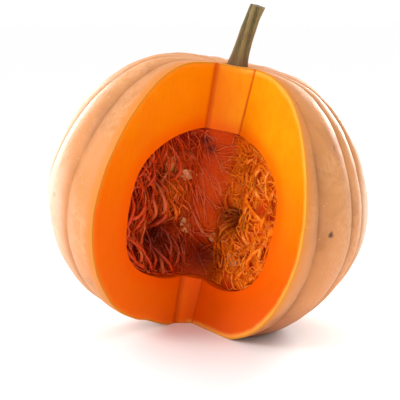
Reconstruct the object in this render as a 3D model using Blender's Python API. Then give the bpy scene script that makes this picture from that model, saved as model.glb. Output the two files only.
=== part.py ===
# Pumpkin with a wedge cut out of its front, its pulp, seeds and stem
# Metres, +Z up. The origin is the middle of the flat spot that the fruit rests on,
# and the opening faces -Y. Azimuths turn from -Y towards +X, polar angles from the top.

import math
import random

import bmesh
import bpy
from mathutils import Matrix, Vector, noise

SEED = 9
GAP = 0.0003
WELD = 0.0000001

# The fruit's outer form, about its own axis
FRUIT_RADIUS = 0.140
UPPER_HEIGHT = 0.1441
LOWER_HEIGHT = 0.129
UPPER_FULLNESS = 1.06
UPPER_DOME = 1.2
LOWER_FULLNESS = 1.03
STEM_DIMPLE_DEPTH = 0.027
BLOSSOM_DIMPLE_DEPTH = 0.0175
DIMPLE_WIDTH = 0.065
# The crown is higher at the front than at the back
CROWN_SLOPE = 0.085

# The ribs, with each groove's azimuth in degrees
GROOVES = (2, 21, 41, 62, 74, 92, 111, 129, 149, 168, 187, 206, 225, 243, 262, 283, 304, 323, 342)
STEPS_PER_RIB = (0.0, 0.17, 0.5, 0.83)
RIB_DEPTH = 0.0042
RIB_UNEVENNESS = 0.0012
RIB_FADE = 0.7
RIB_ROUNDNESS = 0.65
SKIN_ROWS = 32

# How the fruit leans as it lies, and where its flat spot is
LEAN_RIGHT = math.radians(10.56)
LEAN_BACK = math.radians(7.5)
FLAT_SPOT_MIDDLE = (0.0235, 0.0180)
FLAT_SPOT_HEIGHT = -0.1161

# Below its weight the underside has settled flat as it grew: the spot's middle, from the
# fruit's centre, its radius, the radius at which the form is round again, and how far down
# the skin is pushed past the flat spot
SETTLED_MIDDLE = (0.006, 0.016)
SETTLED_RADIUS = 0.036
SETTLED_REACH = 0.078
SETTLED_EXTRA = 0.0010
SETTLED_BELOW = -0.05

# The seed cavity, a rounded box turned about the fruit's axis
CAVITY_RADIUS = 0.0971
CAVITY_HALF_HEIGHT = 0.0674
CAVITY_MIDDLE = -0.0064
CAVITY_SQUARENESS = 0.73
CAVITY_UNEVENNESS = 0.0022
CAVITY_LUMPS = 2.6
CAVITY_SIDES = 36
CAVITY_ROWS = 18

# The missing wedge: its narrow back is a flat strip, and its sides open to the front
STRIP_DEPTH = -0.0120
STRIP_LEFT = -0.0131
STRIP_RIGHT = 0.0176
STRIP_GAUGE = 0.090
LEFT_SLANT = -0.0245
RIGHT_SLANT = 0.0492
LEFT_OPENING = math.radians(39.76)
RIGHT_OPENING = math.radians(31.17)
WEDGE_REACH = 0.30
WEDGE_HALF_HEIGHT = 0.22

# The stem
STEM_RADIUS = 0.0060
STEM_FLARE = 0.0030
STEM_FLARE_LENGTH = 0.008
STEM_RIDGES = 5
STEM_RIDGE_DEPTH = 0.0009
STEM_LENGTH = 0.051
STEM_SUNK = 0.005
STEM_LEAN = math.radians(5.0)
STEM_BEND = 0.0035
STEM_FOOT = (0.003, 0.0005)
STEM_FOOT_POLAR = 0.02
STEM_TWIST = 0.9
STEM_SIDES = 20
STEM_ROWS = 9

# The pulp fills the cavity up to a torn surface that lies behind the wedge's faces.
# A place on it is its distance along the cut, from the strip's middle, and its height.
TORN_REACH = 0.125
TORN_TOP = 0.075
TORN_BOTTOM = -0.085
TORN_COLUMNS = 30
TORN_ROWS = 18
TORN_SWEEP = 0.25
RECESS_LEFT = 0.0135
RECESS_RIGHT = 0.0065
RECESS_MIDDLE = 0.0015
RECESS_LUMPS = 42.0
RECESS_UNEVENNESS = 0.0040
# Deeper hollows: along, height, width and depth
HOLLOWS = (
    (-0.034, -0.040, 0.017, 0.016),
    (0.024, -0.012, 0.010, 0.018),
    (-0.052, 0.010, 0.016, 0.006),
    (0.004, -0.055, 0.018, 0.012),
)
RECESS_LEAST = 0.0008
CORE_HALF_WIDTH = 0.014
STRANDS = 58
STRANDS_ON_LEFT = 0.56
STRAND_LEFT = (-0.088, -0.012)
STRAND_RIGHT = (0.016, 0.080)
STRAND_TOP = (-0.050, 0.062)
STRAND_FALL = (0.018, 0.048)
STRAND_DRIFT_LEFT = (0.006, 0.010)
STRAND_DRIFT_RIGHT = (0.0, 0.014)
STRAND_SWAY = 0.0025
STRAND_SWAYS = 5.0
STRAND_SLOPE_STEP = 0.03
STRAND_SIDES = 3
STRAND_STEPS = 5
STRAND_THICKNESS = (0.0011, 0.0020)
STRAND_RISE = (0.003, 0.012)
STRAND_SUNK = 0.0030
WALL_MARGIN = 0.0050

# The seeds
SEED_LENGTH = 0.0165
SEED_WIDTH = 0.0092
SEED_THICKNESS = 0.0028
SEED_TAPER = (0.30, 0.10)
SEED_SLOPE_STEP = 0.006
SEED_SIDES = 12
SEED_ROWS = 6
# Distance along the cut, height, the turn of its long axis in degrees, and how deep it sinks
SEEDS = (
    (-0.0195, 0.018, 4, 0.0006),
    (-0.034, 0.027, 62, 0.0012),
    (0.012, -0.034, 30, 0.0006),
    (-0.014, -0.028, 115, 0.0008),
    (0.036, -0.044, 160, 0.0008),
    (-0.050, -0.030, 80, 0.0010),
)

SKIN_COLOUR = (0.72, 0.41, 0.19, 1.0)
PULP_COLOUR = (0.42, 0.06, 0.006, 1.0)
SEED_COLOUR = (0.70, 0.38, 0.16, 1.0)
STEM_COLOUR = (0.28, 0.19, 0.085, 1.0)


def clear_scene():
    for obj in list(bpy.data.objects):
        bpy.data.objects.remove(obj, do_unlink=True)
    for collection in list(bpy.data.collections):
        bpy.data.collections.remove(collection)


def new_collection(name):
    collection = bpy.data.collections.new(name)
    bpy.context.scene.collection.children.link(collection)
    return collection


def material(name, colour, roughness):
    surface = bpy.data.materials.new(name)
    surface.use_nodes = True
    shader = surface.node_tree.nodes["Principled BSDF"]
    shader.inputs["Base Color"].default_value = colour
    shader.inputs["Roughness"].default_value = roughness
    shader.inputs["Metallic"].default_value = 0.0
    return surface


def add_object(name, bm, collection, surface=None):
    mesh = bpy.data.meshes.new(name)
    bmesh.ops.recalc_face_normals(bm, faces=bm.faces)
    bm.to_mesh(mesh)
    bm.free()
    obj = bpy.data.objects.new(name, mesh)
    collection.objects.link(obj)
    if surface:
        mesh.materials.append(surface)
    return obj


def hide_cutter(obj):
    obj.hide_render = True
    obj.display_type = "WIRE"
    return obj


# Shapes of the fruit, all about its own axis

def power(value, exponent):
    return math.copysign(abs(value) ** exponent, value)


def direction(azimuth):
    return Vector((math.sin(azimuth), -math.cos(azimuth), 0.0))


def smooth_profile(polar):
    """Radius and height of the skin between the ribs' crests."""
    across, up = math.sin(polar), math.cos(polar)
    if up > 0:
        radius = FRUIT_RADIUS * across ** UPPER_FULLNESS
        height = UPPER_HEIGHT * up ** UPPER_DOME
        height -= STEM_DIMPLE_DEPTH * math.exp(-(radius / DIMPLE_WIDTH) ** 2)
    else:
        radius = FRUIT_RADIUS * across ** LOWER_FULLNESS
        height = LOWER_HEIGHT * up
        height += BLOSSOM_DIMPLE_DEPTH * math.exp(-(radius / DIMPLE_WIDTH) ** 2)
    return radius, height


def rib_shape(azimuth, polar):
    """How far the skin lies below the crests, deepest in the grooves."""
    degrees = math.degrees(azimuth) % 360.0
    starts = sorted(GROOVES)
    ends = starts[1:] + [starts[0] + 360]
    for number, (start, end) in enumerate(zip(starts, ends)):
        place = (degrees - start) % 360.0
        if place <= end - start:
            break
    along = min(place / (end - start), 1.0)
    groove = 1.0 - math.sin(math.pi * along) ** RIB_ROUNDNESS
    uneven = RIB_UNEVENNESS * math.sin(2.4 * number + 0.7)
    fade = math.sin(polar) ** RIB_FADE
    return (RIB_DEPTH * groove + uneven * (1.0 - groove)) * fade


def skin_point(azimuth, polar):
    radius, height = smooth_profile(polar)
    sunk = rib_shape(azimuth, polar)
    height += CROWN_SLOPE * radius * math.cos(azimuth) * max(math.cos(polar), 0.0)
    point = direction(azimuth) * (radius - sunk * math.sin(polar))
    return point + Vector((0.0, 0.0, height - 0.5 * sunk * math.cos(polar)))


def cavity_point(azimuth, polar, inset=0.0):
    """A point on the cavity's wall, or inset from it towards the middle."""
    across = (CAVITY_RADIUS - inset) * power(math.sin(polar), CAVITY_SQUARENESS)
    up = (CAVITY_HALF_HEIGHT - inset) * power(math.cos(polar), CAVITY_SQUARENESS)
    point = direction(azimuth) * across + Vector((0.0, 0.0, CAVITY_MIDDLE + up))
    uneven = noise.noise(point.normalized() * CAVITY_LUMPS) * CAVITY_UNEVENNESS
    return point + point.normalized() * uneven


def sphere_angles(vert):
    """The polar angle and the place round the axis, from 0 to 1, on a unit sphere."""
    polar = math.acos(max(-1.0, min(1.0, vert.co.z)))
    turn = math.atan2(vert.co.x, -vert.co.y) / (2.0 * math.pi) % 1.0
    return polar, turn


def smooth_step(value, low, high):
    place = max(0.0, min(1.0, (value - low) / (high - low)))
    return place * place * (3.0 - 2.0 * place)


def lean_turn():
    return Matrix.Rotation(LEAN_RIGHT, 4, "Y") @ Matrix.Rotation(LEAN_BACK, 4, "X")


def settled(point):
    """Pushes the underside down flat where the fruit's weight lies on it."""
    turned = lean_turn() @ point
    off = math.hypot(turned.x - SETTLED_MIDDLE[0], turned.y - SETTLED_MIDDLE[1])
    if turned.z > SETTLED_BELOW or off > SETTLED_REACH:
        return point
    share = 1.0 - smooth_step(off, SETTLED_RADIUS, SETTLED_REACH)
    turned.z += share * min(0.0, FLAT_SPOT_HEIGHT - SETTLED_EXTRA - turned.z)
    return lean_turn().inverted() @ turned


def rib_azimuths():
    """The azimuths at which the skin is sampled, a few to each rib."""
    starts = sorted(GROOVES)
    ends = starts[1:] + [starts[0] + 360]
    places = [a + (b - a) * step for a, b in zip(starts, ends) for step in STEPS_PER_RIB]
    return [math.radians(place) for place in places]


def lean():
    """Turns the fruit's own frame as it lies, and puts the flat spot at the origin."""
    x, y = FLAT_SPOT_MIDDLE
    return Matrix.Translation((-x, -y, -FLAT_SPOT_HEIGHT)) @ lean_turn()


def skin_mesh():
    azimuths = rib_azimuths()
    bm = bmesh.new()
    bmesh.ops.create_uvsphere(bm, u_segments=len(azimuths), v_segments=SKIN_ROWS, radius=1.0)
    for vert in bm.verts:
        polar, turn = sphere_angles(vert)
        azimuth = azimuths[round(turn * len(azimuths)) % len(azimuths)]
        vert.co = settled(skin_point(azimuth, polar))
    return bm


def cavity_mesh(inset=0.0):
    bm = bmesh.new()
    bmesh.ops.create_uvsphere(bm, u_segments=CAVITY_SIDES, v_segments=CAVITY_ROWS, radius=1.0)
    for vert in bm.verts:
        polar, turn = sphere_angles(vert)
        vert.co = cavity_point(turn * 2.0 * math.pi, polar, inset)
    bmesh.ops.triangulate(bm, faces=bm.faces, quad_method="FIXED")
    return bm


def wedge_edge(side, height):
    """Where the strip meets the left or the right cut face, at a height."""
    start = STRIP_LEFT if side < 0 else STRIP_RIGHT
    slant = LEFT_SLANT if side < 0 else RIGHT_SLANT
    return Vector((start + slant * (height - STRIP_GAUGE), STRIP_DEPTH, height))


def wedge_mesh():
    bm = bmesh.new()
    bmesh.ops.create_cube(bm, size=2.0)
    for vert in bm.verts:
        side = math.copysign(1.0, vert.co.x)
        edge = wedge_edge(side, vert.co.z * WEDGE_HALF_HEIGHT)
        opening = LEFT_OPENING if side < 0 else RIGHT_OPENING
        outwards = Vector((side * math.sin(opening), -math.cos(opening), 0.0))
        vert.co = edge if vert.co.y > 0 else edge + outwards * WEDGE_REACH
    return bm


def tube_mesh(sides, steps, place):
    """A closed tube whose rings follow place(station, angle), station from 0 to 1."""
    bm = bmesh.new()
    bmesh.ops.create_cone(
        bm, cap_ends=True, segments=sides, radius1=1.0, radius2=1.0, depth=1.0)
    rails = [e for e in bm.edges if abs(e.verts[0].co.z - e.verts[1].co.z) > 0.5]
    bmesh.ops.subdivide_edges(bm, edges=rails, cuts=steps - 1)
    for vert in bm.verts:
        vert.co = place(vert.co.z + 0.5, math.atan2(vert.co.y, vert.co.x))
    return bm


def recess(along, height):
    """How far the torn surface lies behind the cut, at a place on it."""
    side = RECESS_LEFT if along < 0 else RECESS_RIGHT
    away = smooth_step(abs(along), 0.5 * CORE_HALF_WIDTH, 2.2 * CORE_HALF_WIDTH)
    depth = RECESS_MIDDLE + (side - RECESS_MIDDLE) * away
    place = Vector((along * RECESS_LUMPS, height * RECESS_LUMPS, 1.7))
    depth += RECESS_UNEVENNESS * noise.noise(place) * (0.35 + 0.65 * away)
    for hollow_along, hollow_height, width, deep in HOLLOWS:
        off = math.hypot(along - hollow_along, height - hollow_height) / width
        depth += deep * math.exp(-off * off)
    return max(depth, RECESS_LEAST)


def inward_at(along):
    """The level direction from the cut into the pulp, turning smoothly at the strip."""
    opening = LEFT_OPENING if along < 0 else RIGHT_OPENING
    turned = (0.5 * math.pi - opening) * smooth_step(abs(along), 0.0, 2.0 * CORE_HALF_WIDTH)
    return Vector((math.copysign(math.sin(turned), along), math.cos(turned), 0.0))


def cut_point(along, height):
    """A place on the cut: on the strip near its middle, and on the side faces beyond."""
    side = math.copysign(1.0, along)
    left, right = wedge_edge(-1.0, height), wedge_edge(1.0, height)
    middle = 0.5 * (left + right)
    edge = right if side > 0 else left
    half = (right - left).length * 0.5
    if abs(along) < half:
        return middle.lerp(edge, abs(along) / half)
    opening = LEFT_OPENING if side < 0 else RIGHT_OPENING
    heading = Vector((side * math.sin(opening), -math.cos(opening), 0.0))
    return edge + heading * (abs(along) - half)


def torn_point(along, height, rise=0.0):
    """A point above the torn surface, or below it where rise is negative."""
    return cut_point(along, height) + inward_at(along) * (recess(along, height) - rise)


def keep_in_cavity(point, margin):
    """Draws a point inwards where it comes nearer to the cavity's wall than the margin."""
    exponent = 2.0 / CAVITY_SQUARENESS
    across = math.hypot(point.x, point.y) / (CAVITY_RADIUS - margin)
    up = abs(point.z - CAVITY_MIDDLE) / (CAVITY_HALF_HEIGHT - margin)
    reach = (across ** exponent + up ** exponent) ** (1.0 / exponent)
    if reach <= 1.0:
        return point
    level = CAVITY_MIDDLE + (point.z - CAVITY_MIDDLE) / reach
    return Vector((point.x / reach, point.y / reach, level))


def modifier_boolean(obj, operation, solver="EXACT"):
    cut = obj.modifiers.new("boolean", "BOOLEAN")
    cut.operation = operation
    cut.solver = solver
    return cut


def subtract(obj, cutter, solver="EXACT"):
    modifier_boolean(obj, "DIFFERENCE", solver).object = cutter


def apply_modifiers(obj):
    """Writes the evaluated mesh back into the object."""
    graph = bpy.context.evaluated_depsgraph_get()
    graph.update()
    result = bpy.data.meshes.new_from_object(obj.evaluated_get(graph))
    surfaces = list(obj.data.materials)
    obj.modifiers.clear()
    obj.data = result
    result.materials.clear()
    for surface in surfaces:
        result.materials.append(surface)


def bodies(bm):
    """Groups of faces joined by edges that exactly two faces share."""
    left = set(bm.faces)
    groups = []
    while left:
        stack = [left.pop()]
        group = list(stack)
        while stack:
            edges = [e for e in stack.pop().edges if len(e.link_faces) == 2]
            fresh = {f for e in edges for f in e.link_faces} & left
            left -= fresh
            stack.extend(fresh)
            group.extend(fresh)
        groups.append(group)
    return groups


def keep_main_body(obj):
    """Drops loose scraps and fills sealed hollows: only the largest body stays."""
    bm = bmesh.new()
    bm.from_mesh(obj.data)
    bmesh.ops.triangulate(bm, faces=bm.faces)
    bmesh.ops.remove_doubles(bm, verts=bm.verts, dist=WELD)
    groups = sorted(bodies(bm), key=lambda g: sum(f.calc_area() for f in g))
    for group in groups[:-1]:
        bmesh.ops.delete(bm, geom=group, context="FACES")
    bm.to_mesh(obj.data)
    bm.free()


def build_fruit(parts, cutters, wedge):
    fruit = add_object("fruit", skin_mesh(), parts, material("fruit_skin", SKIN_COLOUR, 0.5))
    hollow = hide_cutter(add_object("cavity_cutter", cavity_mesh(), cutters))
    socket = hide_cutter(add_object("socket_cutter", stem_mesh(GAP), cutters))
    ground = bmesh.new()
    bmesh.ops.create_cube(ground, size=1.0)
    lie = lean()
    bmesh.ops.translate(ground, verts=ground.verts, vec=(0.0, 0.0, -0.5))
    bmesh.ops.transform(ground, matrix=lie.inverted(), verts=ground.verts)
    ground = hide_cutter(add_object("ground_cutter", ground, cutters))
    for cutter in (hollow, wedge, socket, ground):
        subtract(fruit, cutter)
    return fruit


def stem_place(station, angle, extra=0.0):
    """A point on the stem, whose foot is sunk in the dimple and which bends to the right."""
    height = station * (STEM_LENGTH + STEM_SUNK)
    foot_height = smooth_profile(STEM_FOOT_POLAR)[1] - STEM_SUNK
    bend = STEM_BEND * station ** 2
    flare = STEM_FLARE * math.exp(-max(height - STEM_SUNK, 0.0) / STEM_FLARE_LENGTH)
    ridge = STEM_RIDGE_DEPTH * math.cos(STEM_RIDGES * (angle + STEM_TWIST * station))
    radius = STEM_RADIUS + flare + ridge + extra
    x, y = STEM_FOOT
    centre = Vector((x + math.sin(STEM_LEAN) * height + bend, y, foot_height + height))
    across = Vector((math.cos(angle) * math.cos(STEM_LEAN), math.sin(angle),
                     -math.cos(angle) * math.sin(STEM_LEAN)))
    return centre + across * radius


def stem_mesh(extra=0.0):
    """The stem, or the socket it stands in where extra is the clearance round it."""
    bm = tube_mesh(STEM_SIDES, STEM_ROWS, lambda s, a: stem_place(s, a, extra))
    if extra:
        lowest = min(v.co.z for v in bm.verts)
        foot = [v for v in bm.verts if v.co.z < lowest + 2.5 * STEM_RADIUS * math.sin(STEM_LEAN)]
        bmesh.ops.translate(bm, verts=foot, vec=(0.0, 0.0, -extra))
    return bm


def build_stem(parts):
    return add_object("stem", stem_mesh(), parts, material("stem", STEM_COLOUR, 0.7))


def torn_mesh():
    """The torn surface, swept forwards: what it cuts away leaves the pulp."""
    bm = bmesh.new()
    bmesh.ops.create_grid(bm, x_segments=TORN_COLUMNS, y_segments=TORN_ROWS, size=1.0)
    for vert in bm.verts:
        height = TORN_BOTTOM + (TORN_TOP - TORN_BOTTOM) * 0.5 * (vert.co.y + 1.0)
        vert.co = torn_point(vert.co.x * TORN_REACH, height)
    swept = bmesh.ops.extrude_face_region(bm, geom=list(bm.faces))
    front = [v for v in swept["geom"] if isinstance(v, bmesh.types.BMVert)]
    bmesh.ops.translate(bm, verts=front, vec=(0.0, -TORN_SWEEP, 0.0))
    return bm


def strand_place(draw):
    """A strand that leaves the pulp, arches over its torn surface and sinks in again."""
    along = draw.uniform(*(STRAND_LEFT if draw.random() < STRANDS_ON_LEFT else STRAND_RIGHT))
    height = draw.uniform(*STRAND_TOP)
    fall = draw.uniform(*STRAND_FALL)
    drift = draw.gauss(*(STRAND_DRIFT_LEFT if along < 0 else STRAND_DRIFT_RIGHT))
    rise = draw.uniform(*STRAND_RISE)
    thickness = draw.uniform(*STRAND_THICKNESS)
    wave = draw.uniform(0.0, 2.0 * math.pi)

    def centre(station):
        lift = math.sin(math.pi * station)
        sway = STRAND_SWAY * math.sin(STRAND_SWAYS * station + wave)
        point = torn_point(along + drift * station + sway, height - fall * station,
                           rise * lift - STRAND_SUNK * (1.0 - lift))
        return keep_in_cavity(point, WALL_MARGIN)

    def place(station, angle):
        here = centre(station)
        ahead = centre(station + STRAND_SLOPE_STEP) - centre(station - STRAND_SLOPE_STEP)
        ahead.normalize()
        side = ahead.cross(inward_at(along)).normalized()
        out = side.cross(ahead)
        radius = thickness * (0.65 + 0.35 * math.sin(math.pi * station))
        return here + (side * math.cos(angle) + out * math.sin(angle)) * radius

    return place


def build_pulp(parts, cutters, wedge, seeds):
    draw = random.Random(SEED)
    pulp = add_object("pulp", cavity_mesh(GAP), parts, material("pulp", PULP_COLOUR, 0.35))
    subtract(pulp, hide_cutter(add_object("torn_cutter", torn_mesh(), cutters)))
    apply_modifiers(pulp)

    bunch = new_collection("strands")
    for number in range(STRANDS):
        strand = tube_mesh(STRAND_SIDES, STRAND_STEPS, strand_place(draw))
        add_object("strand_%d" % number, strand, bunch)
    join = modifier_boolean(pulp, "UNION")
    join.operand_type = "COLLECTION"
    join.collection = bunch
    apply_modifiers(pulp)
    for obj in list(bunch.objects):
        bpy.data.objects.remove(obj, do_unlink=True)
    bpy.data.collections.remove(bunch)

    subtract(pulp, wedge)
    for seed in seeds:
        subtract(pulp, seed_pocket(seed, cutters))
    apply_modifiers(pulp)
    keep_main_body(pulp)
    return pulp


def seed_mesh(extra=0.0):
    """A flat seed, pointed at one end, with a raised rim."""
    bm = bmesh.new()
    bmesh.ops.create_uvsphere(bm, u_segments=SEED_SIDES, v_segments=SEED_ROWS, radius=1.0)
    for vert in bm.verts:
        x, y, z = vert.co
        taper = 1.0 - SEED_TAPER[0] * x - SEED_TAPER[1] * x * x
        vert.co.x = x * (0.5 * SEED_LENGTH + extra)
        vert.co.y = y * (0.5 * SEED_WIDTH * taper + extra)
        vert.co.z = z * (0.5 * SEED_THICKNESS + extra)
    return bm


def seed_matrix(along, height, turn, sunk):
    """Lays a seed flat on the torn surface, its long axis turned in that surface."""
    step = SEED_SLOPE_STEP
    across = torn_point(along + step, height) - torn_point(along - step, height)
    up = torn_point(along, height + step) - torn_point(along, height - step)
    out = across.cross(up).normalized()
    turn = math.radians(turn)
    long_axis = across.normalized() * math.cos(turn) + up.normalized() * math.sin(turn)
    long_axis = (long_axis - out * long_axis.dot(out)).normalized()
    matrix = Matrix((long_axis, out.cross(long_axis), out)).transposed().to_4x4()
    matrix.translation = torn_point(along, height, 0.5 * SEED_THICKNESS - sunk)
    return matrix


def seed_pocket(seed, cutters):
    pocket = add_object(seed.name + "_pocket", seed_mesh(GAP), cutters)
    pocket.matrix_world = seed.matrix_world
    return hide_cutter(pocket)


def build_seeds(parts):
    surface = material("seed", SEED_COLOUR, 0.45)
    seeds = []
    for number, angles in enumerate(SEEDS, start=1):
        seed = add_object("seed_%d" % number, seed_mesh(), parts, surface)
        seed.matrix_world = seed_matrix(*angles)
        seeds.append(seed)
    return seeds


def main():
    clear_scene()
    parts = new_collection("pumpkin")
    cutters = new_collection("cutters")
    wedge = hide_cutter(add_object("wedge_cutter", wedge_mesh(), cutters))
    fruit = build_fruit(parts, cutters, wedge)
    seeds = build_seeds(parts)
    pulp = build_pulp(parts, cutters, wedge, seeds)
    stem = build_stem(parts)
    resting = bpy.data.objects.new("resting_place", None)
    parts.objects.link(resting)
    resting.matrix_world = lean()
    for obj in [fruit, pulp, stem] + seeds + list(cutters.objects):
        obj.parent = resting


main()
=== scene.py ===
import math
import random

import bmesh
import bpy
from mathutils import Matrix, Vector, noise
from mathutils.bvhtree import BVHTree


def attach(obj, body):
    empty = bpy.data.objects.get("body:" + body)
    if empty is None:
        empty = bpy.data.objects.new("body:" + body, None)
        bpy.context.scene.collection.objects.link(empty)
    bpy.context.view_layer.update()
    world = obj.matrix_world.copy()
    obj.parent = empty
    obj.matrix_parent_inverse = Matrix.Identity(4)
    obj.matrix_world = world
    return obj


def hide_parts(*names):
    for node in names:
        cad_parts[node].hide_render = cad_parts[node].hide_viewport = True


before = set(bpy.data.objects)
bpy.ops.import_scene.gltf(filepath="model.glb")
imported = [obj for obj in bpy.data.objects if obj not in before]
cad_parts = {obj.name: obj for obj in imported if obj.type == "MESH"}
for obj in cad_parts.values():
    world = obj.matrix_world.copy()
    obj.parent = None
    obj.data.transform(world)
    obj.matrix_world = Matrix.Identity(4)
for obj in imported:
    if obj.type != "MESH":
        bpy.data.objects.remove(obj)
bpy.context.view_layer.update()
print("frame loaded")

fruit = {
    "radius": 0.140, "upperHeight": 0.1441, "lowerHeight": 0.129,
    "upperFullness": 1.06, "upperDome": 1.2, "lowerFullness": 1.03,
    "stemDimple": 0.027, "crownSlope": 0.085, "blossomDimple": 0.0175, "dimpleWidth": 0.065,
    "grooves": (2, 21, 41, 62, 74, 92, 111, 129, 149, 168, 187, 206, 225, 243, 262, 283, 304, 323, 342),
    "stepsPerRib": 12, "rows": 116, "ribDepth": 0.0042, "ribUneven": 0.0012, "ribFade": 0.7,
    "dents": 0.0005, "inset": 0.0008, "leanRight": 10.56, "leanBack": 7.5,
    "flatMiddle": (0.0235, 0.0180), "flatHeight": -0.1161,
    "settledMiddle": (0.006, 0.016), "settledRadius": 0.036, "settledReach": 0.078,
    "settledExtra": 0.0010, "settledBelow": -0.05,
    "ribFullness": 0.65, "grooveGrowth": 1.4, "smoothAngle": 34.0,
}
cavity = {
    "radius": 0.0971, "halfHeight": 0.0674, "middle": -0.0064, "squareness": 0.73,
    "uneven": 0.0022, "sides": 90, "rows": 46, "gap": 0.0004,
}
wedge = {
    "depth": -0.0120, "left": -0.0131, "right": 0.0176, "gauge": 0.090,
    "leftSlant": -0.0245, "rightSlant": 0.0492, "leftOpening": 39.76, "rightOpening": 31.17,
    "reach": 0.19, "halfHeight": 0.16, "sideBlend": (0.15, 1.05), "creaseShadeWidths": (0.55, 1.3),
    # How often its height, depth and width are divided
    "fineCuts": (119, 71, 11), "plainCuts": (1, 1, 1),
}


def srgb(red, green, blue):
    def linear(value):
        value /= 255.0
        return value / 12.92 if value <= 0.04045 else ((value + 0.055) / 1.055) ** 2.4
    return (linear(red), linear(green), linear(blue), 1.0)


# The fruit's own frame, as it leans on its flat spot
leanTurn = Matrix.Rotation(math.radians(fruit["leanRight"]), 4, "Y")
leanTurn = leanTurn @ Matrix.Rotation(math.radians(fruit["leanBack"]), 4, "X")
fruitMiddle = Vector((-fruit["flatMiddle"][0], -fruit["flatMiddle"][1], -fruit["flatHeight"]))
lean = Matrix.Translation(fruitMiddle) @ leanTurn


def power(value, exponent):
    return math.copysign(abs(value) ** exponent, value)


def smoothStep(value, low, high):
    place = max(0.0, min(1.0, (value - low) / (high - low)))
    return place * place * (3.0 - 2.0 * place)


def direction(azimuth):
    return Vector((math.sin(azimuth), -math.cos(azimuth), 0.0))


def sphereAngles(vert):
    polar = math.acos(max(-1.0, min(1.0, vert.co.z)))
    turn = math.atan2(vert.co.x, -vert.co.y) / (2.0 * math.pi) % 1.0
    return polar, turn


def fruitProfile(polar):
    across, up = math.sin(polar), math.cos(polar)
    if up > 0:
        radius = fruit["radius"] * across ** fruit["upperFullness"]
        height = fruit["upperHeight"] * up ** fruit["upperDome"]
        height -= fruit["stemDimple"] * math.exp(-(radius / fruit["dimpleWidth"]) ** 2)
    else:
        radius = fruit["radius"] * across ** fruit["lowerFullness"]
        height = fruit["lowerHeight"] * up
        height += fruit["blossomDimple"] * math.exp(-(radius / fruit["dimpleWidth"]) ** 2)
    return radius, height


def ribPlace(azimuth):
    degrees = math.degrees(azimuth) % 360.0
    starts = sorted(fruit["grooves"])
    ends = starts[1:] + [starts[0] + 360]
    for number, (start, end) in enumerate(zip(starts, ends)):
        place = (degrees - start) % 360.0
        if place <= end - start:
            break
    return number, min(place / (end - start), 1.0)  # the rib's number, and 0 to 1 across it


def grooveShare(across):
    return 1.0 - max(math.sin(math.pi * across), 0.0) ** fruit["ribFullness"]


def settled(point):
    turned = leanTurn @ point
    off = math.hypot(turned.x - fruit["settledMiddle"][0], turned.y - fruit["settledMiddle"][1])
    if turned.z > fruit["settledBelow"] or off > fruit["settledReach"]:
        return point
    share = 1.0 - smoothStep(off, fruit["settledRadius"], fruit["settledReach"])
    turned.z += share * min(0.0, fruit["flatHeight"] - fruit["settledExtra"] - turned.z)
    return leanTurn.inverted() @ turned


def skinPoint(azimuth, polar):
    radius, height = fruitProfile(polar)
    number, across = ribPlace(azimuth)
    groove = grooveShare(across)
    uneven = fruit["ribUneven"] * math.sin(2.4 * number + 0.7)
    fade = max(math.sin(polar), 0.0) ** fruit["ribFade"]
    sunk = (fruit["ribDepth"] * groove + uneven * (1.0 - groove)) * fade
    height += fruit["crownSlope"] * radius * math.cos(azimuth) * max(math.cos(polar), 0.0)
    point = direction(azimuth) * (radius - sunk * math.sin(polar))
    point += Vector((0.0, 0.0, height - 0.5 * sunk * math.cos(polar)))
    dent = noise.noise(point * 38.0) + 0.5 * noise.noise(point * 95.0)
    return settled(point + point.normalized() * (dent * fruit["dents"] - fruit["inset"]))


def cavityPoint(azimuth, polar, inset=0.0):
    across = (cavity["radius"] - inset) * power(math.sin(polar), cavity["squareness"])
    up = (cavity["halfHeight"] - inset) * power(math.cos(polar), cavity["squareness"])
    point = direction(azimuth) * across + Vector((0.0, 0.0, cavity["middle"] + up))
    return point + point.normalized() * noise.noise(point.normalized() * 2.6) * cavity["uneven"]


def wedgeEdge(side, height):
    start = wedge["left"] if side < 0 else wedge["right"]
    slant = wedge["leftSlant"] if side < 0 else wedge["rightSlant"]
    return Vector((start + slant * (height - wedge["gauge"]), wedge["depth"], height))


def wedgeHeading(side):
    opening = math.radians(wedge["leftOpening"] if side < 0 else wedge["rightOpening"])
    return Vector((side * math.sin(opening), -math.cos(opening), 0.0))


def newPiece(name, bm, materials, recalc=True):
    mesh = bpy.data.meshes.new(name)
    if recalc:
        bm.normal_update()
        bmesh.ops.recalc_face_normals(bm, faces=bm.faces)
    bm.to_mesh(mesh)
    bm.free()
    for surface in materials:
        mesh.materials.append(surface)
    piece = bpy.data.objects.new(name, mesh)
    bpy.context.scene.collection.objects.link(piece)
    return piece


def subtract(piece, cutter):
    cut = piece.modifiers.new("cut", "BOOLEAN")
    cut.operation = "DIFFERENCE"
    cut.solver = "EXACT"
    cut.object = cutter
    cut.material_mode = "TRANSFER"


def bakeModifiers(piece, cutters=()):
    graph = bpy.context.evaluated_depsgraph_get()
    graph.update()
    piece.data = bpy.data.meshes.new_from_object(piece.evaluated_get(graph))
    piece.modifiers.clear()
    bm = bmesh.new()
    bm.from_mesh(piece.data)
    # A vertex in the middle of a straight edge would leave slivers
    bmesh.ops.dissolve_verts(bm, verts=[vert for vert in bm.verts if len(vert.link_edges) == 2])
    bm.to_mesh(piece.data)
    bm.free()
    for cutter in cutters:
        bpy.data.objects.remove(cutter, do_unlink=True)


def finishPiece(piece, smoothAngle):
    piece.data.transform(lean)
    piece.data.shade_smooth()
    piece.data.set_sharp_from_angle(angle=math.radians(smoothAngle))
    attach(piece, "root")


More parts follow.
